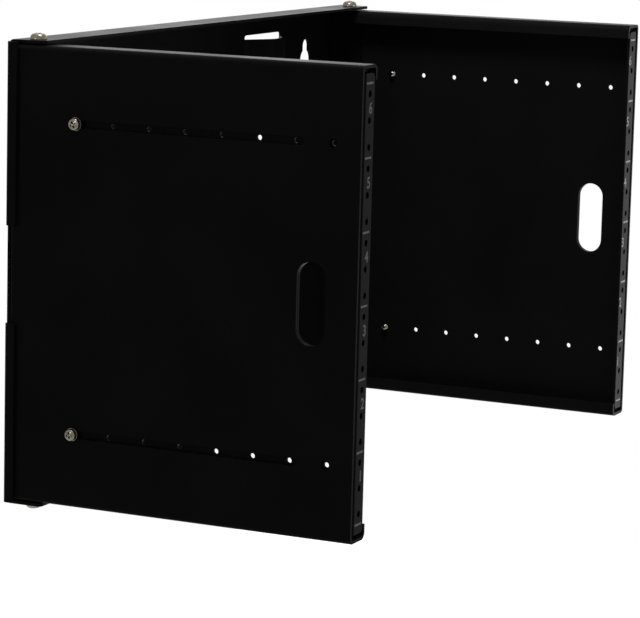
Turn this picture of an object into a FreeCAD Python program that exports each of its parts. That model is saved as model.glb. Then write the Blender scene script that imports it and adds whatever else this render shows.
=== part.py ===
# Wall-mount open frame rack, six rack units high, of folded and powder-coated sheet steel.
# A shallow back plate goes on the wall, a channel bracket is screwed to each end of it, and a panel
# with the drilled rack rail slides out of each bracket to set the depth.
# Millimetres. Y = 0 is the wall, the front is towards -Y, X runs to the right as seen from the front,
# Z runs up, and the origin is the middle of the back plate's wall face.
import FreeCAD, Part
import math
import os

V = FreeCAD.Vector

# Rack standard
RACK_UNIT = 44.45
UNITS = 6
RAIL_HOLE_SPAN = 465.1
RAIL_HOLE_STEPS = (6.35, 22.225, 38.1)
RAIL_HOLE_D = 4.2

# Sheet and bends
SHEET = 2.0
BEND = 3.0
LIP_BEND = 4.0
SLIDE_GAP = 0.4

# Brackets: channels with return lips, screwed inside the back plate
BRACKET_HALF_WIDTH = 243.5
BRACKET_HALF_HEIGHT = 144.2
BRACKET_FLANGE = 20.7
BRACKET_LIP = 9.3
BRACKET_FRONT = -241.3
LIP_START = -11.0
REAR_FLANGE = 21.0
REAR_FLANGE_HALF_HEIGHT = 141.0
REAR_FLANGE_CORNER = 7.0

# Sliding panels at their shortest depth of nine and a half inches
DEPTH_SHORT = 241.3
PANEL_REAR = -22.5
RAIL_FREE_EDGE = 226.2
RAIL_HALF_HEIGHT = 139.2
RAIL_CORNER = 3.5

# Depth setting: a row of tapped holes near the top and the bottom of each panel
ROW_HEIGHT = 97.3
ROW_PITCH = 24.9
ROW_HOLES = 8
ROW_START = -48.8
TRAVEL = 152.4
TAPPED_D = 3.4
SLOT_WIDTH = 5.0
END_HOLE_D = 6.0

# Oblong hand and cable hole through bracket and panel
OBLONG_Y = -211.0
OBLONG_WIDTH = 19.0
OBLONG_HEIGHT = 51.0

# Back plate: a tray that the brackets nest in, with a slit at each corner between flange and end tab
NEST_GAP = 0.8
PLATE_FLANGE = 25.5
TAB_DEPTH = 7.5
TAB_GAP_HALF = 31.0
TAB_DROP = 1.2
TAB_INSET = 4.0
CORNER_SLIT = 0.2
CORNER_RELIEF_D = 2.0
FLANGE_CORNER = 3.0
KEYHOLE_X = 182.2
KEYHOLE_Z = 108.0
KEYHOLE_HEAD_D = 18.5
KEYHOLE_SLOT = 10.6
KEYHOLE_RISE = 10.9

# Lanced tie straps pressed forward out of the back plate
STRAP_X = 109.7
STRAP_ROWS = (119.1, 45.5)
STRAP_LENGTH = 60.0
STRAP_HEIGHT = 20.0
STRAP_SLOT = 2.8
STRAP_SLOT_CORNER = 2.4
STRAP_RISE = 14.0
STRAP_RAMP = 22.0
STRAP_BEND = 18.0
STRAP_FOOT = 6.5

# Screws and weld nuts; a head, with any washer, is given as (radius, height) pairs from its rim to its top
DEPTH_SCREW_D = 4.0
DEPTH_HEAD = ((4.1, 0.9), (3.7, 0.9), (3.7, 3.0), (2.8, 4.2))
DEPTH_HEAD_GAP = 0.3
DEPTH_SCREW_LENGTH = 9.0
CORNER_SCREW_X = 231.5
CORNER_SCREW_Y = -14.5
CORNER_SCREW_D = 5.0
CORNER_HOLE_D = 5.4
CORNER_HEAD = ((5.3, 0.8), (4.6, 2.6), (2.8, 4.0))
CORNER_SCREW_LENGTH = 10.0
NUT_FLATS = 8.0
NUT_H = 4.0
NUT_BORE = 4.4

PLATE_HALF_WIDTH = BRACKET_HALF_WIDTH + NEST_GAP + SHEET
PLATE_HALF_HEIGHT = BRACKET_HALF_HEIGHT + NEST_GAP + SHEET
TAB_ROOT = PLATE_HALF_WIDTH - TAB_INSET
TAB_END = PLATE_HALF_HEIGHT - TAB_DROP
PANEL_HALF_WIDTH = BRACKET_HALF_WIDTH - SHEET - SLIDE_GAP
PANEL_HALF_HEIGHT = BRACKET_HALF_HEIGHT - SHEET - SLIDE_GAP
LIP_FACE = BRACKET_HALF_WIDTH - BRACKET_FLANGE
PANEL_FLANGE_END = LIP_FACE + LIP_BEND + SLIDE_GAP
OVERCUT = 5.0
SIDES = {"right": 1, "left": -1}
LEVELS = {"upper": 1, "lower": -1}

# Directions in which a flat profile is drawn: along XZ, XY and YZ
PLAN_XZ = (V(1, 0, 0), V(0, 0, 1))
PLAN_XY = (V(1, 0, 0), V(0, 1, 0))
PLAN_YZ = (V(0, 1, 0), V(0, 0, 1))


def rounded_face(corners, plan):
    """Closed flat face through corners (a, b, radius), each corner with a radius being a tangent arc."""
    points = [plan[0] * a + plan[1] * b for a, b, _ in corners]
    edges = []
    starts = []
    ends = []
    for i, (_, _, radius) in enumerate(corners):
        here = points[i]
        back = (points[i - 1] - here).normalize()
        ahead = (points[(i + 1) % len(points)] - here).normalize()
        half = back.getAngle(ahead) / 2
        reach = radius / math.tan(half)
        starts.append(here + back * reach)
        ends.append(here + ahead * reach)
        if radius > 0:
            inward = (back + ahead).normalize()
            middle = here + inward * (radius / math.sin(half) - radius)
            edges.append(Part.Arc(starts[i], middle, ends[i]).toShape())
    for i in range(len(points)):
        leave = ends[i - 1]
        if leave.distanceToPoint(starts[i]) > 1e-6:
            edges.append(Part.LineSegment(leave, starts[i]).toShape())
    return Part.Face(Part.Wire(Part.__sortEdges__(edges)))


def bent_sheet(path, plan, sweep, side=1):
    """Sheet folded along path, a list of (a, b, outer bend radius), thickened to one side and carried along sweep."""
    lines = []
    for (a0, b0, _), (a1, b1, _) in zip(path, path[1:]):
        length = math.hypot(a1 - a0, b1 - b0)
        lines.append((side * -(b1 - b0) / length, side * (a1 - a0) / length))
    inner = []
    for i, (a, b, radius) in enumerate(path):
        before = lines[max(i - 1, 0)]
        after = lines[min(i, len(lines) - 1)]
        scale = SHEET / (1 + before[0] * after[0] + before[1] * after[1])
        turn = before[0] * after[1] - before[1] * after[0]
        bend = SHEET if turn * side > 0 else -SHEET
        inner_radius = max(radius - bend, 0) if radius else 0
        inner.append((a + scale * (before[0] + after[0]), b + scale * (before[1] + after[1]), inner_radius))
    return rounded_face(path + inner[::-1], plan).extrude(sweep)


def cylinder(diameter, start, along):
    """Round bar from start, as long and in the direction of along."""
    return Part.makeCylinder(diameter / 2, along.Length, start, along)


def oblong(width, length, centre, run, along):
    """Oblong bar: width across, length over its round ends in the direction of run, carried along."""
    reach = run * ((length - width) / 2)
    ends = [cylinder(width, centre - reach, along), cylinder(width, centre + reach, along)]
    across = along.cross(run).normalize() * (width / 2)
    corners = [centre - reach - across, centre + reach - across, centre + reach + across, centre - reach + across]
    web = Part.Face(Part.makePolygon(corners + corners[:1])).extrude(along)
    return web.fuse(ends).removeSplitter()


def box(low, high):
    """Box between two opposite corners."""
    return Part.makeBox(high[0] - low[0], high[1] - low[1], high[2] - low[2], V(*low))


def mirror_x(shape):
    """The same shape on the other side of the middle plane."""
    return shape.mirror(V(0, 0, 0), V(1, 0, 0))


def on_side(shape, side):
    """A shape made on the right, or its mirror on the left."""
    return shape if side > 0 else mirror_x(shape)


def round_corners(shape, radius, picked):
    """Round the sheet edges whose middle is picked."""
    edges = [edge for edge in shape.Edges if picked(edge.CenterOfMass, edge)]
    return shape.makeFillet(radius, edges)


def row_points():
    """Depth positions of the tapped holes in one row, rear to front."""
    return [ROW_START - ROW_PITCH * i for i in range(ROW_HOLES)]


def side_oblong():
    """Bar that cuts the oblong hole through one side."""
    start = V(PANEL_HALF_WIDTH - SHEET - OVERCUT, OBLONG_Y, 0)
    return oblong(OBLONG_WIDTH, OBLONG_HEIGHT, start, V(0, 0, 1), V(SHEET * 2 + OVERCUT * 2, 0, 0))


def make_bracket():
    """Right bracket: side wall, top and bottom flanges with return lips, and a rear flange on the plate."""
    rear_bend = -SHEET - BEND
    lip_end = BRACKET_HALF_HEIGHT - BRACKET_LIP
    channel_path = [
        (LIP_FACE, lip_end, 0),
        (LIP_FACE, BRACKET_HALF_HEIGHT, LIP_BEND),
        (BRACKET_HALF_WIDTH, BRACKET_HALF_HEIGHT, BEND),
        (BRACKET_HALF_WIDTH, -BRACKET_HALF_HEIGHT, BEND),
        (LIP_FACE, -BRACKET_HALF_HEIGHT, LIP_BEND),
        (LIP_FACE, -lip_end, 0),
    ]
    channel = bent_sheet(channel_path, PLAN_XZ, V(0, rear_bend - BRACKET_FRONT, 0), -1)
    channel.translate(V(0, BRACKET_FRONT, 0))
    rear_path = [
        (BRACKET_HALF_WIDTH, rear_bend, 0),
        (BRACKET_HALF_WIDTH, -SHEET, BEND),
        (BRACKET_HALF_WIDTH - REAR_FLANGE, -SHEET, 0),
    ]
    rear = bent_sheet(rear_path, PLAN_XY, V(0, 0, 2 * REAR_FLANGE_HALF_HEIGHT))
    rear.translate(V(0, 0, -REAR_FLANGE_HALF_HEIGHT))
    free_edge = BRACKET_HALF_WIDTH - REAR_FLANGE
    rear = round_corners(
        rear,
        REAR_FLANGE_CORNER,
        lambda c, e: abs(c.x - free_edge) < 0.01 and abs(abs(c.z) - REAR_FLANGE_HALF_HEIGHT) < 0.01,
    )
    bracket = channel.fuse(rear)
    cuts = [side_oblong()]
    for level in LEVELS.values():
        lip_cut_z = sorted((level * (lip_end - OVERCUT), level * (BRACKET_HALF_HEIGHT - LIP_BEND)))
        cuts.append(box((LIP_FACE - OVERCUT, LIP_START, lip_cut_z[0]), (LIP_FACE + SHEET, 0, lip_cut_z[1])))
        row = row_points()
        through = V(SHEET + OVERCUT * 2, 0, 0)
        outside = BRACKET_HALF_WIDTH - SHEET - OVERCUT
        slot_middle = ROW_START - TRAVEL / 2
        slot_length = TRAVEL + SLOT_WIDTH
        cuts.append(oblong(SLOT_WIDTH, slot_length, V(outside, slot_middle, level * ROW_HEIGHT), V(0, 1, 0), through))
        cuts.append(cylinder(END_HOLE_D, V(outside, row[-1], level * ROW_HEIGHT), through))
        flange_inside = V(CORNER_SCREW_X, CORNER_SCREW_Y, level * (BRACKET_HALF_HEIGHT - SHEET - OVERCUT))
        cuts.append(cylinder(CORNER_HOLE_D, flange_inside, V(0, 0, level * OVERCUT * 2)))
    return bracket.cut(cuts).removeSplitter()


def make_sliding_panel():
    """Right sliding panel: side wall and flanges that run inside the bracket, and the drilled rack rail."""
    rail_bend = -DEPTH_SHORT + BEND
    channel_path = [
        (PANEL_FLANGE_END, PANEL_HALF_HEIGHT, 0),
        (PANEL_HALF_WIDTH, PANEL_HALF_HEIGHT, BEND),
        (PANEL_HALF_WIDTH, -PANEL_HALF_HEIGHT, BEND),
        (PANEL_FLANGE_END, -PANEL_HALF_HEIGHT, 0),
    ]
    channel = bent_sheet(channel_path, PLAN_XZ, V(0, PANEL_REAR - rail_bend, 0), -1)
    channel.translate(V(0, rail_bend, 0))
    rail_path = [
        (PANEL_HALF_WIDTH, rail_bend, 0),
        (PANEL_HALF_WIDTH, -DEPTH_SHORT, BEND),
        (RAIL_FREE_EDGE, -DEPTH_SHORT, 0),
    ]
    rail = bent_sheet(rail_path, PLAN_XY, V(0, 0, 2 * RAIL_HALF_HEIGHT), -1)
    rail.translate(V(0, 0, -RAIL_HALF_HEIGHT))
    rail = round_corners(
        rail,
        RAIL_CORNER,
        lambda c, e: abs(c.x - RAIL_FREE_EDGE) < 0.01 and abs(abs(c.z) - RAIL_HALF_HEIGHT) < 0.01,
    )
    cuts = [side_oblong()]
    for unit in range(UNITS):
        for step in RAIL_HOLE_STEPS:
            z = (unit - UNITS / 2) * RACK_UNIT + step
            start = V(RAIL_HOLE_SPAN / 2, -DEPTH_SHORT - OVERCUT, z)
            cuts.append(cylinder(RAIL_HOLE_D, start, V(0, SHEET + OVERCUT * 2, 0)))
    for level in LEVELS.values():
        for y in row_points():
            start = V(PANEL_HALF_WIDTH - SHEET - OVERCUT, y, level * ROW_HEIGHT)
            cuts.append(cylinder(TAPPED_D, start, V(SHEET + OVERCUT * 2, 0, 0)))
    return channel.fuse(rail).cut(cuts).removeSplitter()


def keyhole(x, z):
    """Bar that cuts a keyhole: a round head hole with a narrow slot rising from it."""
    through = V(0, SHEET + OVERCUT * 2, 0)
    head = cylinder(KEYHOLE_HEAD_D, V(x, -SHEET - OVERCUT, z), through)
    slot_length = KEYHOLE_RISE + KEYHOLE_SLOT
    slot_centre = V(x, -SHEET - OVERCUT, z + KEYHOLE_RISE / 2)
    return head.fuse(oblong(KEYHOLE_SLOT, slot_length, slot_centre, V(0, 0, 1), through)).removeSplitter()


def strap_window(x, z):
    """Opening that a tie strap is pressed out of, with rounded corners."""
    top = z + STRAP_HEIGHT / 2 + STRAP_SLOT
    bottom = z - STRAP_HEIGHT / 2 - STRAP_SLOT
    right = x + STRAP_LENGTH / 2
    left = x - STRAP_LENGTH / 2
    outline = [(a, b, STRAP_SLOT_CORNER) for a, b in ((left, bottom), (right, bottom), (right, top), (left, top))]
    window = rounded_face(outline, PLAN_XZ).extrude(V(0, SHEET + OVERCUT * 2, 0))
    window.translate(V(0, -SHEET - OVERCUT, 0))
    return window


def strap(x, z):
    """Tie strap standing forward of the plate on two ramps."""
    half = STRAP_LENGTH / 2
    path = [
        (x - half - STRAP_FOOT, 0, 0),
        (x - half, 0, STRAP_BEND),
        (x - half + STRAP_RAMP, -STRAP_RISE, STRAP_BEND),
        (x + half - STRAP_RAMP, -STRAP_RISE, STRAP_BEND),
        (x + half, 0, STRAP_BEND),
        (x + half + STRAP_FOOT, 0, 0),
    ]
    made = bent_sheet(path, PLAN_XY, V(0, 0, STRAP_HEIGHT), -1)
    made.translate(V(0, 0, z - STRAP_HEIGHT / 2))
    return made


def side_tab(level):
    """Narrow tab at the right end of the plate, turned forward outside the bracket."""
    path = [
        (PLATE_HALF_WIDTH, -TAB_DEPTH, 0),
        (PLATE_HALF_WIDTH, 0, BEND),
        (TAB_ROOT, 0, 0),
    ]
    made = bent_sheet(path, PLAN_XY, V(0, 0, TAB_END - TAB_GAP_HALF))
    made.translate(V(0, 0, TAB_GAP_HALF if level > 0 else -TAB_END))
    return made


def make_back_plate():
    """Back plate: a wall sheet with top and bottom flanges, end tabs, keyholes and pressed tie straps."""
    path = [
        (-PLATE_FLANGE, PLATE_HALF_HEIGHT, 0),
        (0, PLATE_HALF_HEIGHT, BEND),
        (0, -PLATE_HALF_HEIGHT, BEND),
        (-PLATE_FLANGE, -PLATE_HALF_HEIGHT, 0),
    ]
    plate = bent_sheet(path, PLAN_YZ, V(2 * TAB_ROOT, 0, 0), -1)
    plate.translate(V(-TAB_ROOT, 0, 0))
    plate = round_corners(
        plate,
        FLANGE_CORNER,
        lambda c, e: abs(c.y + PLATE_FLANGE) < 0.01 and abs(abs(c.x) - TAB_ROOT) < 0.01,
    )
    added = []
    cuts = []
    slit_start = PLATE_HALF_HEIGHT - BEND
    for side in SIDES.values():
        slit_x = sorted((side * (TAB_ROOT - CORNER_SLIT), side * (TAB_ROOT + OVERCUT)))
        for level in LEVELS.values():
            slit_z = sorted((level * slit_start, level * (PLATE_HALF_HEIGHT + OVERCUT)))
            cuts.append(box((slit_x[0], -PLATE_FLANGE - OVERCUT, slit_z[0]), (slit_x[1], OVERCUT, slit_z[1])))
            relief = V(side * (TAB_ROOT - CORNER_SLIT), -SHEET - OVERCUT, level * slit_start)
            cuts.append(cylinder(CORNER_RELIEF_D, relief, V(0, SHEET + OVERCUT * 2, 0)))
            screw_hole = V(side * CORNER_SCREW_X, CORNER_SCREW_Y, level * (PLATE_HALF_HEIGHT - SHEET - OVERCUT))
            cuts.append(cylinder(CORNER_HOLE_D, screw_hole, V(0, 0, level * OVERCUT * 2)))
            key_z = KEYHOLE_Z if level > 0 else -KEYHOLE_Z - KEYHOLE_RISE
            cuts.append(keyhole(side * KEYHOLE_X, key_z))
            added.append(on_side(side_tab(level), side))
            for row in STRAP_ROWS:
                cuts.append(strap_window(side * STRAP_X, level * row))
                added.append(strap(side * STRAP_X, level * row))
    return plate.cut(cuts).fuse(added).removeSplitter()


def screw(shank, head, length):
    """Turned screw: the head stands on the XY plane and the shank runs down from it."""
    rim = head[0][0]
    top = head[-1][1]
    turned = [(0, -length), (shank / 2, -length), (shank / 2, 0), (rim, 0), *head, (0, top)]
    outline = Part.makePolygon([V(r, 0, z) for r, z in turned + turned[:1]])
    return Part.Face(outline).revolve(V(0, 0, 0), V(0, 0, 1), 360)


def make_depth_screw(side, level):
    """Screw from outside through the bracket's slot into the rearmost tapped hole of the panel."""
    made = screw(DEPTH_SCREW_D, DEPTH_HEAD, DEPTH_SCREW_LENGTH)
    made.rotate(V(0, 0, 0), V(0, 1, 0), 90)
    made.translate(V(BRACKET_HALF_WIDTH + DEPTH_HEAD_GAP, ROW_START, level * ROW_HEIGHT))
    return on_side(made, side)


def make_corner_screw(side, level):
    """Upright screw through the plate's flange and the bracket's flange."""
    made = screw(CORNER_SCREW_D, CORNER_HEAD, CORNER_SCREW_LENGTH)
    if level < 0:
        made.rotate(V(0, 0, 0), V(1, 0, 0), 180)
    made.translate(V(CORNER_SCREW_X, CORNER_SCREW_Y, level * PLATE_HALF_HEIGHT))
    return on_side(made, side)


def make_corner_nut(side, level):
    """Hexagonal weld nut on the inside of the bracket's flange."""
    corner = NUT_FLATS / math.sqrt(3)
    turns = [math.radians(60 * k) for k in range(7)]
    outline = Part.makePolygon([V(corner * math.cos(t), corner * math.sin(t), 0) for t in turns])
    made = Part.Face(outline).extrude(V(0, 0, NUT_H)).cut(Part.makeCylinder(NUT_BORE / 2, NUT_H))
    if level > 0:
        made.rotate(V(0, 0, 0), V(1, 0, 0), 180)
    made.translate(V(CORNER_SCREW_X, CORNER_SCREW_Y, level * (BRACKET_HALF_HEIGHT - SHEET)))
    return on_side(made, side)


def build():
    """Every piece of the rack by name."""
    pieces = {"back_plate": make_back_plate()}
    for side_name, side in SIDES.items():
        pieces[f"{side_name}_bracket"] = on_side(make_bracket(), side)
        pieces[f"{side_name}_sliding_panel"] = on_side(make_sliding_panel(), side)
        for level_name, level in LEVELS.items():
            place = f"{level_name}_{side_name}"
            pieces[f"{place}_depth_screw"] = make_depth_screw(side, level)
            pieces[f"{place}_corner_screw"] = make_corner_screw(side, level)
            pieces[f"{place}_corner_nut"] = make_corner_nut(side, level)
    return pieces


os.makedirs("parts", exist_ok=True)
for name, shape in build().items():
    shape.exportStep(f"parts/{name}.step")
    print(name, shape.isValid(), len(shape.Solids), round(shape.Volume, 1), shape.BoundBox)
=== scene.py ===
"""Looks of a six-unit wall-mount open frame rack.

Folded sheet steel with a satin black powder coat, nickel-plated cross-head screws, and pale
printed ticks and numbers on the two rack rails. Sizes are millimetres and become metres, the
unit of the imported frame, only where a mesh, a light or the camera is made.
"""

import logging
import math
from dataclasses import dataclass
from enum import Enum
from itertools import product
from typing import Any

import bmesh
import bpy
import numpy as np
from mathutils import Matrix, Vector

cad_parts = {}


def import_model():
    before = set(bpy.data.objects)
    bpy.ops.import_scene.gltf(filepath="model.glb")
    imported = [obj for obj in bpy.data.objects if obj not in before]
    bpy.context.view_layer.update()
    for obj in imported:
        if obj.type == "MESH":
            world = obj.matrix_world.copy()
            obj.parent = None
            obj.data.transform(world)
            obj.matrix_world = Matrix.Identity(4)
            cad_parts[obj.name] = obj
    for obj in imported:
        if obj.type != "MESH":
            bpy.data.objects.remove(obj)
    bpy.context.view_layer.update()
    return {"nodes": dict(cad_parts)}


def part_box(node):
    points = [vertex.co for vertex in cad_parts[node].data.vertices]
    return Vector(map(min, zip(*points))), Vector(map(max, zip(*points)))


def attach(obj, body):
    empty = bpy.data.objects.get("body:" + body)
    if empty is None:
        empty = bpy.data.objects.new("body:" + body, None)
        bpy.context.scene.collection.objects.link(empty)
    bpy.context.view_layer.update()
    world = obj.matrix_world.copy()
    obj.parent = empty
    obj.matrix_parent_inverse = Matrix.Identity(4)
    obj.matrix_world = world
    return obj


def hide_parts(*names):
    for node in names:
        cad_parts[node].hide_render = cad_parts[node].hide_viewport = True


LOG = logging.getLogger("rack")
MM = 0.001
FULL_TURN = 2 * math.pi
# Attribute with each point's distance from the axis of a screw or nut, in millimetres.
TURNED_RADIUS = "turned_radius"
# Height of a digit as a share of the text's size.
DIGIT_SHARE = 0.72
# Span that most values of a noise pattern fall in.
NOISE_SPAN = (0.3, 0.7)
# Faces that meet at less than this angle are shaded as one surface, unless a piece has its own.
SMOOTH_DEG = 30.0


class Side(Enum):
    """The two sides as seen from the front, with the sign of X on each."""

    LEFT = -1
    RIGHT = 1


class Level(Enum):
    """The upper and lower rows of fasteners, with the sign of Z on each."""

    UPPER = 1
    LOWER = -1


def word(choice: Enum) -> str:
    """The lower-case word of a choice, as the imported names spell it."""
    return choice.name.lower()


def linear(hex_colour: str) -> tuple[float, float, float, float]:
    """Turn an sRGB hex colour into linear RGBA.

    Args:
        hex_colour: colour as #rrggbb.

    Returns:
        Linear red, green, blue and an alpha of one.
    """
    srgb = np.array([int(hex_colour[i : i + 2], 16) for i in (1, 3, 5)]) / 255
    curve = np.where(srgb <= 0.04045, srgb / 12.92, ((srgb + 0.055) / 1.055) ** 2.4)
    return (*curve.tolist(), 1.0)


def add_node(
    tree: bpy.types.NodeTree, kind: str, inputs: dict[Any, Any] | None = None, **settings: Any
) -> bpy.types.Node:
    """Add one node with its settings and links.

    Args:
        tree: node tree that gets the node.
        kind: Blender's name for the kind of node.
        inputs: input name or index, with the value it takes or the socket that feeds it.
        settings: attributes of the node itself.

    Returns:
        The new node.
    """
    node = tree.nodes.new(kind)
    for name, value in settings.items():
        setattr(node, name, value)
    for key, value in (inputs or {}).items():
        if isinstance(value, bpy.types.NodeSocket):
            tree.links.new(value, node.inputs[key])
        else:
            node.inputs[key].default_value = value
    return node


def new_material(name: str) -> tuple[bpy.types.Material, bpy.types.NodeTree]:
    """Make an empty node material.

    Args:
        name: name of the material.

    Returns:
        The material and its node tree.
    """
    material = bpy.data.materials.new(name)
    material.use_nodes = True
    material.node_tree.nodes.clear()
    return material, material.node_tree


def per_metre(size_mm: float) -> float:
    """Texture scale at which one cycle of a pattern is size_mm across."""
    return 1 / (size_mm * MM)


def patchy_tone(
    tree: bpy.types.NodeTree,
    place: bpy.types.NodeSocket,
    size_mm: float,
    detail: float,
    tones: tuple[str, str],
) -> tuple[bpy.types.NodeSocket, bpy.types.NodeSocket]:
    """Add a colour that drifts between two tones in soft patches.

    Args:
        tree: node tree of the material.
        place: coordinates that the patches are laid out in.
        size_mm: size of a patch.
        detail: how many finer layers the patches have.
        tones: sRGB hex colours where the noise is low and where it is high.

    Returns:
        The noise of the patches, and the colour.
    """
    noise = add_node(
        tree,
        "ShaderNodeTexNoise",
        {"Vector": place, "Scale": per_metre(size_mm), "Detail": detail},
    ).outputs["Fac"]
    low, high = (linear(tone) for tone in tones)
    tone = add_node(
        tree,
        "ShaderNodeMix",
        {"Factor": noise, "A": low, "B": high},
        data_type="RGBA",
    )
    return noise, tone.outputs["Result"]


@dataclass(frozen=True)
class PowderCoat:
    """Satin black polyester powder, sprayed and baked on steel sheet.

    The eye sees a near-black skin of very low gloss, a fine orange-peel ripple where light
    grazes it, and film a little thicker or thinner from place to place.
    """

    thin_film: str = "#0c0c0d"
    thick_film: str = "#131313"
    cloud_mm: float = 60.0
    cloud_detail: float = 3.0
    # Real orange peel is about 1 mm across; it is drawn twice as coarse so that it shows.
    peel_mm: float = 2.2
    peel_detail: float = 1.0
    peel_height_mm: float = 0.012
    grit_mm: float = 0.5
    grit_detail: float = 2.0
    grit_height_mm: float = 0.003
    bump_strength: float = 0.5
    roughness: tuple[float, float] = (0.26, 0.34)
    ior: float = 1.5
    # The fine texture of the film swallows most of the gloss that smooth polyester would have.
    specular: float = 0.009

    def material(self) -> bpy.types.Material:
        """Build the coat: cloudy tone and gloss, with ripple and grit as bump.

        Returns:
            The finished material.
        """
        material, tree = new_material("satin_black_powder_coat")
        place = add_node(tree, "ShaderNodeTexCoord").outputs["Object"]
        films = (self.thin_film, self.thick_film)
        cloud, tone = patchy_tone(tree, place, self.cloud_mm, self.cloud_detail, films)
        gloss = add_node(
            tree,
            "ShaderNodeMapRange",
            {
                "Value": cloud,
                "From Min": NOISE_SPAN[0],
                "From Max": NOISE_SPAN[1],
                "To Min": self.roughness[0],
                "To Max": self.roughness[1],
            },
        )
        peel = add_node(
            tree,
            "ShaderNodeTexNoise",
            {"Vector": place, "Scale": per_metre(self.peel_mm), "Detail": self.peel_detail},
        )
        grit = add_node(
            tree,
            "ShaderNodeTexNoise",
            {"Vector": place, "Scale": per_metre(self.grit_mm), "Detail": self.grit_detail},
        )
        ripple = add_node(
            tree,
            "ShaderNodeBump",
            {
                "Height": peel.outputs["Fac"],
                "Strength": self.bump_strength,
                "Distance": self.peel_height_mm * MM,
            },
        )
        skin = add_node(
            tree,
            "ShaderNodeBump",
            {
                "Height": grit.outputs["Fac"],
                "Strength": self.bump_strength,
                "Distance": self.grit_height_mm * MM,
                "Normal": ripple.outputs["Normal"],
            },
        )
        shader = add_node(
            tree,
            "ShaderNodeBsdfPrincipled",
            {
                "Base Color": tone,
                "Roughness": gloss.outputs["Result"],
                "IOR": self.ior,
                "Specular IOR Level": self.specular,
                "Normal": skin.outputs["Normal"],
            },
        )
        add_node(tree, "ShaderNodeOutputMaterial", {"Surface": shader.outputs["BSDF"]})
        return material


@dataclass(frozen=True)
class NickelPlate:
    """Bright nickel plate on machine screws of steel.

    The eye sees a warm grey mirror, softened by fine rings that cold heading and turning leave
    about the axis, and slightly duller patches. Both tones carry painted shade.
    """

    # Both tones are darker than clean nickel: painted shade, as the heads mirror black sheets.
    pale: str = "#857f74"
    dull: str = "#4f4b45"
    patch_mm: float = 2.5
    patch_detail: float = 2.0
    # Real tool rings are about 0.05 mm apart; they are drawn coarser so that they show.
    ring_mm: float = 0.3
    ring_height_mm: float = 0.004
    ring_strength: float = 0.3
    roughness: tuple[float, float] = (0.08, 0.18)

    def material(self) -> bpy.types.Material:
        """Build the plate: patches in tone and gloss, with rings on the turned radius as bump.

        Returns:
            The finished material.
        """
        material, tree = new_material("bright_nickel_plated_steel")
        place = add_node(tree, "ShaderNodeTexCoord").outputs["Object"]
        tones = (self.pale, self.dull)
        patch, tone = patchy_tone(tree, place, self.patch_mm, self.patch_detail, tones)
        gloss = add_node(
            tree,
            "ShaderNodeMapRange",
            {
                "Value": patch,
                "From Min": NOISE_SPAN[0],
                "From Max": NOISE_SPAN[1],
                "To Min": self.roughness[0],
                "To Max": self.roughness[1],
            },
        )
        turned = add_node(tree, "ShaderNodeAttribute", attribute_name=TURNED_RADIUS)
        angle = add_node(
            tree,
            "ShaderNodeMath",
            {0: turned.outputs["Fac"], 1: FULL_TURN / self.ring_mm},
            operation="MULTIPLY",
        )
        ring = add_node(tree, "ShaderNodeMath", {0: angle.outputs["Value"]}, operation="SINE")
        rings = add_node(
            tree,
            "ShaderNodeBump",
            {
                "Height": ring.outputs["Value"],
                "Strength": self.ring_strength,
                "Distance": self.ring_height_mm * MM,
            },
        )
        shader = add_node(
            tree,
            "ShaderNodeBsdfPrincipled",
            {
                "Base Color": tone,
                "Metallic": 1.0,
                "Roughness": gloss.outputs["Result"],
                "Normal": rings.outputs["Normal"],
            },
        )
        add_node(tree, "ShaderNodeOutputMaterial", {"Surface": shader.outputs["BSDF"]})
        return material


@dataclass(frozen=True)
class ScreenInk:
    """Thin white screen ink printed on the cured coat.

    The eye sees a matt grey film, a little darker where the mesh of the screen left less of it.
    The grey is partly the black showing through thin ink and partly painted shade.
    """

    # Both tones are grey partly from black showing through thin ink, partly as painted shade.
    full: str = "#82827e"
    thin: str = "#6b6b68"
    mesh_mm: float = 0.6
    mesh_detail: float = 2.0
    roughness: float = 0.6
    specular: float = 0.05

    def material(self) -> bpy.types.Material:
        """Build the ink: grey, with darker patches where the film is thin.

        Returns:
            The finished material.
        """
        material, tree = new_material("white_screen_ink")
        place = add_node(tree, "ShaderNodeTexCoord").outputs["Object"]
        _, tone = patchy_tone(tree, place, self.mesh_mm, self.mesh_detail, (self.full, self.thin))
        shader = add_node(
            tree,
            "ShaderNodeBsdfPrincipled",
            {"Base Color": tone, "Roughness": self.roughness, "Specular IOR Level": self.specular},
        )
        add_node(tree, "ShaderNodeOutputMaterial", {"Surface": shader.outputs["BSDF"]})
        return material


def grid_quads(rows: int, columns: int) -> np.ndarray:
    """Faces of a grid that closes on itself along its columns.

    Args:
        rows: points along the profile.
        columns: points round the axis.

    Returns:
        One row of four vertex numbers for each face, wound with the profile times the turn.
    """
    row, column = np.meshgrid(np.arange(rows - 1), np.arange(columns), indexing="ij")
    after = (column + 1) % columns
    here = row * columns
    below = (row + 1) * columns
    quads = np.stack([here + column, below + column, below + after, here + after], axis=-1)
    return quads.reshape(-1, 4)


def add_object(name: str, data: bpy.types.ID) -> bpy.types.Object:
    """Put a mesh, a text, a camera or a light into the scene.

    Args:
        name: name of the object.
        data: what the object holds.

    Returns:
        The new object.
    """
    made = bpy.data.objects.new(name, data)
    bpy.context.scene.collection.objects.link(made)
    return made


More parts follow.
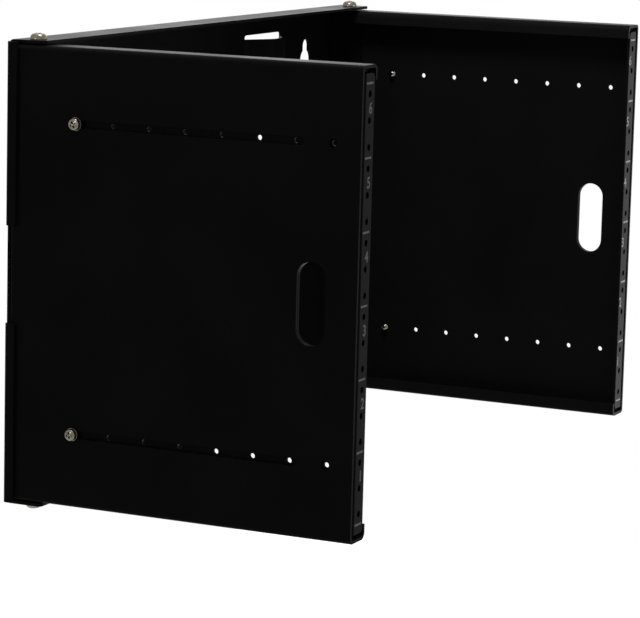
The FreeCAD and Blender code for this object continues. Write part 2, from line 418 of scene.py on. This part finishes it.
def mesh_object(
    name: str, points_mm: np.ndarray, faces: list[list[int]], smooth_deg: float = SMOOTH_DEG
) -> bpy.types.Object:
    """Put points and faces into a new object at the origin.

    Args:
        name: name of the piece.
        points_mm: vertex places, one row each, in the frame.
        faces: vertex numbers of each face.
        smooth_deg: faces that meet at less than this angle are shaded as one surface.

    Returns:
        The new object, linked to the scene.
    """
    mesh = bpy.data.meshes.new(name)
    mesh.from_pydata((points_mm * MM).tolist(), [], faces)
    mesh.validate()
    mesh.set_sharp_from_angle(angle=math.radians(smooth_deg))
    mesh.polygons.foreach_set("use_smooth", np.ones(len(mesh.polygons), dtype=bool))
    return add_object(name, mesh)


@dataclass
class SteelSheets:
    """The five folded sheets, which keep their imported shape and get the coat."""

    nodes: dict[str, bpy.types.Object]

    def dress(self, coat: bpy.types.Material) -> None:
        """Give every sheet the coat.

        Args:
            coat: material of the powder coat.
        """
        folded = product(Side, ("bracket", "sliding_panel"))
        for name in ["back_plate", *(f"{word(side)}_{piece}" for side, piece in folded)]:
            sheet = self.nodes[name]
            sheet.data.materials.clear()
            sheet.data.materials.append(coat)
            LOG.info("coated %s", name)


@dataclass
class RailMarks:
    """Printed ticks at the unit boundaries of a rail, and the numbers of the units."""

    side: Side
    unit: float = 44.45
    units: int = 6
    face_y: float = -241.3
    tick_x: float = 233.0
    tick_length: float = 9.2
    tick_width: float = 1.3
    tick_corner: float = 0.2
    corner_steps: int = 5
    number_x: float = 230.0
    number_shift: float = -1.3
    number_drop: float = 14.6
    number_height: float = 6.9
    number_swell: float = 0.16
    curve_steps: int = 6
    merge_distance: float = 0.001
    film_proud: float = 0.02
    film_sunk: float = 0.04

    def tick_outline(self) -> np.ndarray:
        """Outline of one tick: a bar whose four corners are quarter circles.

        Returns:
            Points round the bar as rows of X and Z.
        """
        quarter = np.linspace(0, FULL_TURN / 4, self.corner_steps)
        angles = (np.arange(4)[:, None] * FULL_TURN / 4 + quarter[None, :]).reshape(-1)
        sign_x = np.array([1, -1, -1, 1])
        sign_z = np.array([1, 1, -1, -1])
        middle_x = sign_x * (self.tick_length / 2 - self.tick_corner)
        middle_z = sign_z * (self.tick_width / 2 - self.tick_corner)
        x = np.repeat(middle_x, self.corner_steps) + self.tick_corner * np.cos(angles)
        z = np.repeat(middle_z, self.corner_steps) + self.tick_corner * np.sin(angles)
        return np.stack([x, z], axis=-1)

    def ticks(self) -> bpy.types.Object:
        """Thin slabs at the unit boundaries: the outline carried through the film's thickness.

        Returns:
            All ticks of the rail as one piece.
        """
        outline = self.tick_outline()
        count = len(outline)
        heights = (np.arange(self.units + 1) - self.units / 2) * self.unit
        layers = np.array([self.face_y - self.film_proud, self.face_y + self.film_sunk])
        shape = (len(heights), len(layers), count)
        x = np.broadcast_to(outline[:, 0] + self.side.value * self.tick_x, shape)
        y = np.broadcast_to(layers[None, :, None], shape)
        z = np.broadcast_to(outline[:, 1], shape) + heights[:, None, None]
        points = np.stack([x, y, z], axis=-1).reshape(-1, 3)
        ring = np.arange(count)
        after = (ring + 1) % count
        walls = np.stack([ring, ring + count, after + count, after], axis=-1)
        faces = []
        for first in range(0, len(points), 2 * count):
            faces += [(ring + first).tolist(), (ring[::-1] + count + first).tolist()]
            faces += (walls + first).tolist()
        return mesh_object(f"{word(self.side)}_rail_ticks", points, faces)

    def numbers(self) -> bpy.types.Object:
        """Unit numbers, highest at the top: a column of filled text, turned to face the front.

        Returns:
            All numbers of the rail as one piece.
        """
        name = f"{word(self.side)}_rail_numbers"
        text = bpy.data.curves.new(name, "FONT")
        text.body = "\n".join(str(unit) for unit in range(self.units, 0, -1))
        text.align_x = "CENTER"
        text.resolution_u = self.curve_steps
        text.offset = self.number_swell
        text.extrude = (self.film_proud + self.film_sunk) / 2
        text.size = self.number_height / DIGIT_SHARE
        text.space_line = self.unit / text.size
        carrier = add_object(name, text)
        bpy.context.view_layer.update()
        filled = carrier.evaluated_get(bpy.context.evaluated_depsgraph_get())
        mesh = bpy.data.meshes.new_from_object(filled)
        bpy.data.objects.remove(carrier)
        flat = np.zeros(len(mesh.vertices) * 3)
        mesh.vertices.foreach_get("co", flat)
        flat = flat.reshape(-1, 3)
        first_baseline = self.units / 2 * self.unit - self.number_drop - self.number_height / 2
        placed = np.stack(
            [
                flat[:, 0] + self.side.value * self.number_x + self.number_shift,
                self.face_y - (self.film_proud - self.film_sunk) / 2 - flat[:, 2],
                flat[:, 1] + first_baseline,
            ],
            axis=-1,
        )
        mesh.vertices.foreach_set("co", (placed * MM).ravel())
        mesh.materials.clear()
        work = bmesh.new()
        work.from_mesh(mesh)
        bmesh.ops.remove_doubles(work, verts=work.verts, dist=self.merge_distance * MM)
        bmesh.ops.recalc_face_normals(work, faces=work.faces)
        work.to_mesh(mesh)
        work.free()
        return add_object(name, mesh)

    def build(self, ink: bpy.types.Material) -> None:
        """Print the rail.

        Args:
            ink: material of the marks.
        """
        for piece in (self.ticks(), self.numbers()):
            piece.data.materials.append(ink)
            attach(piece, f"{word(self.side)}_panel")
            LOG.info("printed %s", piece.name)


def turned_piece(
    name: str,
    points_mm: np.ndarray,
    faces: list[list[int]],
    radius_mm: np.ndarray,
    axis: Matrix,
    plate: bpy.types.Material,
    smooth_deg: float = SMOOTH_DEG,
) -> bpy.types.Object:
    """Stand a screw or nut in its place.

    Args:
        name: name of the piece.
        points_mm: vertex places about the Z axis, one row each.
        faces: vertex numbers of each face.
        radius_mm: distance of each vertex from the axis, which the plate's rings follow.
        axis: placing matrix, in millimetres.
        plate: material of the piece.
        smooth_deg: faces that meet at less than this angle are shaded as one surface.

    Returns:
        The finished piece.
    """
    placed = points_mm @ np.array(axis.to_3x3()).T + np.array(axis.translation)
    piece = mesh_object(name, placed, faces, smooth_deg)
    radii = piece.data.attributes.new(TURNED_RADIUS, "FLOAT", "POINT")
    radii.data.foreach_set("value", radius_mm)
    piece.data.materials.append(plate)
    return piece


@dataclass
class CrossHeadScrew:
    """One machine screw: a turned head with a cross recess and a threaded shank.

    The surface is a profile of radius and height carried round the axis. On the top of the head
    the height drops by the recess, and on the shank the radius follows a helical thread.
    """

    head_radius: float
    face_radius: float
    head_height: float
    crown: float
    head_seat: float
    shank_radius: float
    length: float
    pitch: float
    washer: tuple[tuple[float, float], ...] = ()
    edge_share: float = 0.55
    # Reach, half width and wall of the recess are shares of the face's radius.
    recess_reach: float = 0.86
    recess_half_width: float = 0.22
    recess_wall: float = 0.07
    recess_depth: float = 1.8
    # Share of the depth by which an arm's floor rises to the arm's end.
    recess_rise: float = 0.35
    # Depth of the middle cone on the axis, and its fall over one half width, as shares.
    cone_top: float = 1.6
    cone_fall: float = 0.8
    thread_start: float = 0.15
    # Thread depth is a share of the pitch, and the tip's taper a share of that depth.
    thread_depth: float = 0.61
    tip_taper: float = 0.6
    steps_per_thread: int = 6
    columns: int = 120
    face_rows: int = 44
    edge_rows: int = 9
    smooth_deg: float = 40.0

    def profile(self) -> tuple[np.ndarray, np.ndarray, int]:
        """Profile from the middle of the head's face to the shank's tip.

        The face is a shallow crown, height falling with the square of the radius. A quarter
        ellipse turns it into the side, which runs straight down to the seat, past any washer
        and in under it to the shank.

        Returns:
            Radii, heights above the seat of the washer or head, and the row where the shank
            starts.
        """
        face = np.linspace(0, 1, self.face_rows)
        face_r = face * self.face_radius
        edge_top = self.head_height - self.crown
        face_z = self.head_height - self.crown * face**2
        turn = np.linspace(0, FULL_TURN / 4, self.edge_rows)[1:]
        drop = (edge_top - self.head_seat) * self.edge_share
        edge_r = self.face_radius + (self.head_radius - self.face_radius) * np.sin(turn)
        edge_z = edge_top - drop * (1 - np.cos(turn))
        side = [(self.head_radius, self.head_seat), *self.washer, (self.shank_radius, 0.0)]
        side_r, side_z = np.array(side).T
        shank_rows = int(self.length / self.pitch * self.steps_per_thread)
        shank_z = np.linspace(-self.thread_start, -self.length, shank_rows)
        shank_r = np.full_like(shank_z, self.shank_radius)
        radii = np.concatenate([face_r, edge_r, side_r, shank_r, [0.0]])
        heights = np.concatenate([face_z, edge_z, side_z, shank_z, [-self.length]])
        return radii, heights, len(face_r) + len(edge_r) + len(side_r)

    def arm_depth(self, along: np.ndarray, across: np.ndarray) -> np.ndarray:
        """Depth of one arm of the recess.

        The arm is as deep as a ramp that rises from the middle to the arm's end, times a
        straight wall at its two flanks and its end. A wall is half way down at the outline.

        Args:
            along: distance along the arm.
            across: distance from the arm's middle line.

        Returns:
            Depth at each point.
        """
        reach = self.recess_reach * self.face_radius
        half = self.recess_half_width * self.face_radius
        wall = self.recess_wall * self.face_radius
        flank = np.clip((half - np.abs(across)) / wall + 0.5, 0, 1)
        end = np.clip((reach - np.abs(along)) / wall + 0.5, 0, 1)
        ramp = 1 - self.recess_rise * np.abs(along) / reach
        return self.recess_depth * ramp * flank * end

    def recess(self, x: np.ndarray, y: np.ndarray) -> np.ndarray:
        """Depth of the cross recess at a point of the face.

        The deeper of the two arms counts, and a cone deepens the middle.

        Args:
            x: distance along one arm.
            y: distance along the other arm.

        Returns:
            Depth at each point.
        """
        half = self.recess_half_width * self.face_radius
        cone = np.clip(self.cone_top - np.hypot(x, y) / half * self.cone_fall, 0, 1)
        arms = np.maximum(self.arm_depth(x, y), self.arm_depth(y, x))
        return np.maximum(arms, self.recess_depth * cone)

    def surface(self, turn_deg: float) -> tuple[np.ndarray, np.ndarray]:
        """Points of the screw standing on the XY plane, and their turned radius.

        The thread is a triangle wave of height over pitch plus angle over a full turn. Over
        the last pitch the radius tapers to the tip.

        Args:
            turn_deg: how far the recess is turned about the axis.

        Returns:
            Points as rows by columns by three, and the radius before the thread is cut.
        """
        radii, heights, shank_row = self.profile()
        angle = np.arange(self.columns) / self.columns * FULL_TURN
        r = np.repeat(radii[:, None], self.columns, axis=1)
        z = np.repeat(heights[:, None], self.columns, axis=1)
        plain = r.copy()
        start = math.radians(turn_deg)
        face = slice(0, self.face_rows)
        z[face] -= self.recess(r[face] * np.cos(angle - start), r[face] * np.sin(angle - start))
        shank = slice(shank_row, len(radii) - 1)
        phase = (z[shank] / self.pitch + angle / FULL_TURN) % 1
        depth = self.thread_depth * self.pitch
        r[shank] -= depth * np.abs(2 * phase - 1)
        taper = np.clip((self.length + z[shank]) / self.pitch, 0.0, 1.0)
        r[shank] -= depth * self.tip_taper * (1 - taper)
        return np.stack([r * np.cos(angle), r * np.sin(angle), z], axis=-1), plain

    def build(
        self, name: str, axis: Matrix, turn_deg: float, plate: bpy.types.Material
    ) -> bpy.types.Object:
        """Make one screw in its place.

        Args:
            name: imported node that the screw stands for.
            axis: placing matrix, in millimetres, whose Z column points out of the head.
            turn_deg: how far the recess is turned.
            plate: material of the screw.

        Returns:
            The finished piece.
        """
        grid, plain = self.surface(turn_deg)
        rows = grid.shape[0]
        inner = grid[1:-1].reshape(-1, 3)
        points = np.concatenate([inner, grid[0, :1], grid[-1, :1]])
        radius = np.concatenate([plain[1:-1].ravel(), [0.0, 0.0]])
        faces = grid_quads(rows - 2, self.columns).tolist()
        ring = np.arange(self.columns)
        after = (ring + 1) % self.columns
        last = (rows - 3) * self.columns
        tip = len(points) - 1
        faces += np.stack([np.full_like(ring, tip - 1), ring, after], axis=-1).tolist()
        faces += np.stack([np.full_like(ring, tip), after + last, ring + last], axis=-1).tolist()
        return turned_piece(f"{name}_turned", points, faces, radius, axis, plate, self.smooth_deg)


@dataclass
class WeldNut:
    """Hexagonal nut under a corner screw, with chamfered corners and a plain bore."""

    flats: float = 8.0
    height: float = 4.0
    bore_radius: float = 2.2
    # Drop of a corner for each millimetre beyond the chamfer circle, and the drop at the flats.
    chamfer: float = 0.5
    flat_drop: float = 0.05
    # Radius of the chamfer circle as a share of half the flats.
    circle_share: float = 1.01
    columns: int = 96

    def surface(self) -> np.ndarray:
        """Closed ring of profiles about the axis.

        The outer radius is that of a hexagon, half the flats over the cosine of the angle from
        the nearest flat, held inside a chamfer circle at either end.

        Returns:
            Points as rows by columns by three, the first row joining the last.
        """
        angle = np.arange(self.columns) / self.columns * FULL_TURN
        sixth = FULL_TURN / 6
        hexagon = self.flats / 2 / np.cos((angle - sixth / 2) % sixth - sixth / 2)
        circle = np.minimum(hexagon, self.flats / 2 * self.circle_share)
        drop = (hexagon - circle) * self.chamfer + self.flat_drop
        bore = np.full_like(angle, self.bore_radius)
        rounds = [
            (bore, np.zeros_like(angle)),
            (circle, np.zeros_like(angle)),
            (hexagon, drop),
            (hexagon, self.height - drop),
            (circle, np.full_like(angle, self.height)),
            (bore, np.full_like(angle, self.height)),
        ]
        rings = [np.stack([r * np.cos(angle), r * np.sin(angle), z], axis=-1) for r, z in rounds]
        return np.stack(rings)

    def build(self, name: str, axis: Matrix, plate: bpy.types.Material) -> bpy.types.Object:
        """Make one nut in its place.

        Args:
            name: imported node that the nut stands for.
            axis: placing matrix, in millimetres, whose Z column points away from the flange.
            plate: material of the nut.

        Returns:
            The finished piece.
        """
        grid = self.surface()
        rows = grid.shape[0]
        points = grid.reshape(-1, 3)
        radius = np.hypot(points[:, 0], points[:, 1])
        closing = grid_quads(rows + 1, self.columns) % (rows * self.columns)
        faces = closing[:, ::-1].tolist()
        return turned_piece(f"{name}_formed", points, faces, radius, axis, plate)


@dataclass
class Fasteners:
    """Four depth screws on the panels, and four corner screws with nuts on the frame."""

    depth_screw: CrossHeadScrew
    corner_screw: CrossHeadScrew
    nut: WeldNut
    # Each place has its recess turned on by a step, as hand-tightened screws end up.
    first_turn: float = 25.0
    turn_step: float = 37.0
    corner_turn: float = 20.0

    def depth_axis(self, side: Side, node: str) -> Matrix:
        """Placing matrix of a depth screw, whose head points out sideways.

        Args:
            side: side of the rack.
            node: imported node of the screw.

        Returns:
            Matrix in millimetres.
        """
        low, high = (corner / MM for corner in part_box(node))
        tip = high.x if side is Side.RIGHT else low.x
        seat = tip - side.value * self.depth_screw.head_height
        turn = Matrix.Rotation(side.value * FULL_TURN / 4, 4, "Y")
        return Matrix.Translation((seat, (low.y + high.y) / 2, (low.z + high.z) / 2)) @ turn

    def corner_axis(self, level: Level, node: str, head: float) -> Matrix:
        """Placing matrix of an upright piece.

        Args:
            level: upper or lower row.
            node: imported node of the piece.
            head: height of the piece beyond the XY plane that it stands on.

        Returns:
            Matrix in millimetres.
        """
        low, high = (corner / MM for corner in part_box(node))
        top = high.z if level is Level.UPPER else low.z
        seat = top - level.value * head
        turn = Matrix.Rotation(0 if level is Level.UPPER else FULL_TURN / 2, 4, "X")
        return Matrix.Translation(((low.x + high.x) / 2, (low.y + high.y) / 2, seat)) @ turn

    @staticmethod
    def fit(piece: bpy.types.Object, body: str, node: str) -> None:
        """Fix a piece to its body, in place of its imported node.

        Args:
            piece: finished screw or nut.
            body: body that it moves with.
            node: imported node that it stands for.
        """
        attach(piece, body)
        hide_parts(node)
        LOG.info("made %s on %s", piece.name, body)

    def build(self, plate: bpy.types.Material) -> None:
        """Make every screw and nut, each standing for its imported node.

        Args:
            plate: material of the fasteners.
        """
        for index, (level, side) in enumerate(product(Level, Side)):
            place = f"{word(level)}_{word(side)}"
            turn = self.first_turn + self.turn_step * index

            node = f"{place}_depth_screw"
            axis = self.depth_axis(side, node)
            self.fit(self.depth_screw.build(node, axis, turn, plate), f"{word(side)}_panel", node)

            node = f"{place}_corner_screw"
            axis = self.corner_axis(level, node, self.corner_screw.head_height)
            turn += self.corner_turn
            self.fit(self.corner_screw.build(node, axis, turn, plate), "frame", node)

            node = f"{place}_corner_nut"
            axis = self.corner_axis(level, node, self.nut.height)
            self.fit(self.nut.build(node, axis, plate), "frame", node)


@dataclass
class PhotoView:
    """The photograph's camera."""

    azimuth: float = -65.044
    elevation: float = 9.221
    roll: float = -1.483
    place: tuple[float, float, float] = (-1850.9, -965.4, 285.5)
    focal_px: float = 3010.6
    frame_px: float = 640.0
    sensor: float = 36.0

    def build(self) -> None:
        """Stand the camera in its place and make it the scene's camera."""
        data = bpy.data.cameras.new("photo_view")
        data.sensor_fit = "HORIZONTAL"
        data.sensor_width = self.sensor
        data.lens = self.focal_px / self.frame_px * self.sensor
        camera = add_object("photo_view", data)
        azimuth = math.radians(self.azimuth)
        elevation = math.radians(self.elevation)
        back = Vector((
            math.sin(azimuth) * math.cos(elevation),
            -math.cos(azimuth) * math.cos(elevation),
            math.sin(elevation),
        ))
        upright = back.to_track_quat("Z", "Y").to_matrix().to_4x4()
        roll = Matrix.Rotation(math.radians(-self.roll), 4, "Z")
        camera.matrix_world = Matrix.Translation(Vector(self.place) * MM) @ upright @ roll
        bpy.context.scene.camera = camera


@dataclass(frozen=True)
class Lamp:
    """One soft box: where it stands, what it faces, its size and its power."""

    name: str
    place: tuple[float, float, float]
    aim: tuple[float, float, float]
    width: float
    height: float
    watts: float

    def build(self) -> None:
        """Hang the soft box."""
        data = bpy.data.lights.new(self.name, "AREA")
        data.shape = "RECTANGLE"
        data.size = self.width * MM
        data.size_y = self.height * MM
        data.energy = self.watts
        lamp = add_object(self.name, data)
        lamp.visible_camera = False
        lamp.location = Vector(self.place) * MM
        facing = Vector(self.aim) - Vector(self.place)
        lamp.rotation_euler = facing.to_track_quat("-Z", "Y").to_euler()


@dataclass
class Studio:
    """White sweep, pale floor and soft boxes."""

    floor_drop: float = 500.0
    floor_radius: float = 1200.0
    floor_columns: int = 96
    floor_tone: str = "#f2f2f0"
    floor_lift: float = 0.88
    ambient: float = 0.3
    lamps: tuple[Lamp, ...] = (
        # Hangs over the rack and lights its top faces.
        Lamp("top_box", (300, 100, 1500), (0, -100, 0), 1400, 1400, 6),
        # Shines in the heads of the left depth screws.
        Lamp("screw_box", (-1676, 362, 277), (-246, -48, 97), 200, 200, 1.6),
        # Reaches the inner face of the right panel.
        Lamp("inner_card", (-200, -150, 700), (240, -120, 0), 250, 250, 4.5),
        # Stands low behind the rack, where the top faces mirror it.
        Lamp("horizon_card", (1480, 740, 330), (0, -50, 150), 900, 360, 0.75),
        # Stands where the right rail mirrors it.
        Lamp("rail_card", (375, -306, -25), (235, -240, 0), 60, 420, 0.205),
        # Lights the marks of the right rail and is turned away from the left one.
        Lamp("ink_card", (300, -330, 0), (328, -240, 0), 40, 420, 0.6),
    )

    @staticmethod
    def seen(tree: bpy.types.NodeTree) -> bpy.types.NodeSocket:
        """Add the nodes that tell rays which show the surroundings from rays which only light.

        Args:
            tree: node tree of the floor or the world.

        Returns:
            One for camera, mirrored and transmitted rays, and nought for the rest.
        """
        ray = add_node(tree, "ShaderNodeLightPath").outputs
        seen = ray["Is Camera Ray"]
        for kind in ("Is Glossy Ray", "Is Transmission Ray"):
            either = add_node(tree, "ShaderNodeMath", {0: seen, 1: ray[kind]}, operation="MAXIMUM")
            seen = either.outputs["Value"]
        return seen

    def floor(self) -> None:
        """Round pale floor: a disc that is lifted to white wherever it is seen or mirrored."""
        angle = np.arange(self.floor_columns) / self.floor_columns * FULL_TURN
        x = self.floor_radius * np.cos(angle)
        y = self.floor_radius * np.sin(angle)
        rim = np.stack([x, y, np.full_like(angle, -self.floor_drop)], axis=-1)
        floor = mesh_object("studio_floor", rim, [list(range(self.floor_columns))])
        material, tree = new_material("pale_studio_floor")
        paint = add_node(tree, "ShaderNodeBsdfDiffuse", {"Color": linear(self.floor_tone)})
        lift = add_node(
            tree,
            "ShaderNodeMath",
            {0: self.seen(tree), 1: self.floor_lift},
            operation="MULTIPLY",
        )
        glow = add_node(tree, "ShaderNodeEmission", {"Strength": lift.outputs["Value"]})
        both = add_node(
            tree,
            "ShaderNodeAddShader",
            {0: paint.outputs["BSDF"], 1: glow.outputs["Emission"]},
        )
        add_node(tree, "ShaderNodeOutputMaterial", {"Surface": both.outputs["Shader"]})
        floor.data.materials.append(material)

    def world(self) -> None:
        """Sweep that is white where it is seen or mirrored, and lights the object only a little."""
        world = bpy.data.worlds.new("white_sweep")
        bpy.context.scene.world = world
        world.use_nodes = True
        tree = world.node_tree
        tree.nodes.clear()
        white = add_node(
            tree,
            "ShaderNodeMix",
            {"Factor": self.seen(tree), "A": self.ambient, "B": 1.0},
        )
        light = add_node(
            tree,
            "ShaderNodeBackground",
            {"Color": (1, 1, 1, 1), "Strength": white.outputs["Result"]},
        )
        add_node(tree, "ShaderNodeOutputWorld", {"Surface": light.outputs["Background"]})

    def build(self) -> None:
        """Set up the floor, the world and the lamps."""
        self.floor()
        self.world()
        for lamp in self.lamps:
            lamp.build()
        bpy.context.scene.view_settings.view_transform = "Standard"


def main() -> None:
    """Load the frame, dress it, add the fasteners and marks, and set the studio."""
    logging.basicConfig(level=logging.INFO, format="%(name)s: %(message)s")
    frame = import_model()
    SteelSheets(frame["nodes"]).dress(PowderCoat().material())
    ink = ScreenInk().material()
    for side in Side:
        RailMarks(side).build(ink)
    depth_screw = CrossHeadScrew(
        head_radius=3.7,
        face_radius=2.4,
        head_height=4.2,
        crown=0.35,
        head_seat=1.8,
        shank_radius=2.0,
        length=9.0,
        pitch=0.7,
        washer=((3.35, 1.8), (3.35, 0.9), (4.0, 0.9), (4.1, 0.8), (4.1, 0.1), (4.0, 0.0)),
    )
    corner_screw = CrossHeadScrew(
        head_radius=5.3,
        face_radius=2.6,
        head_height=4.0,
        crown=0.4,
        head_seat=0.0,
        shank_radius=2.5,
        length=10.0,
        pitch=0.8,
        edge_share=0.85,
    )
    Fasteners(depth_screw, corner_screw, WeldNut()).build(NickelPlate().material())
    PhotoView().build()
    Studio().build()


if __name__ == "__main__":
    main()
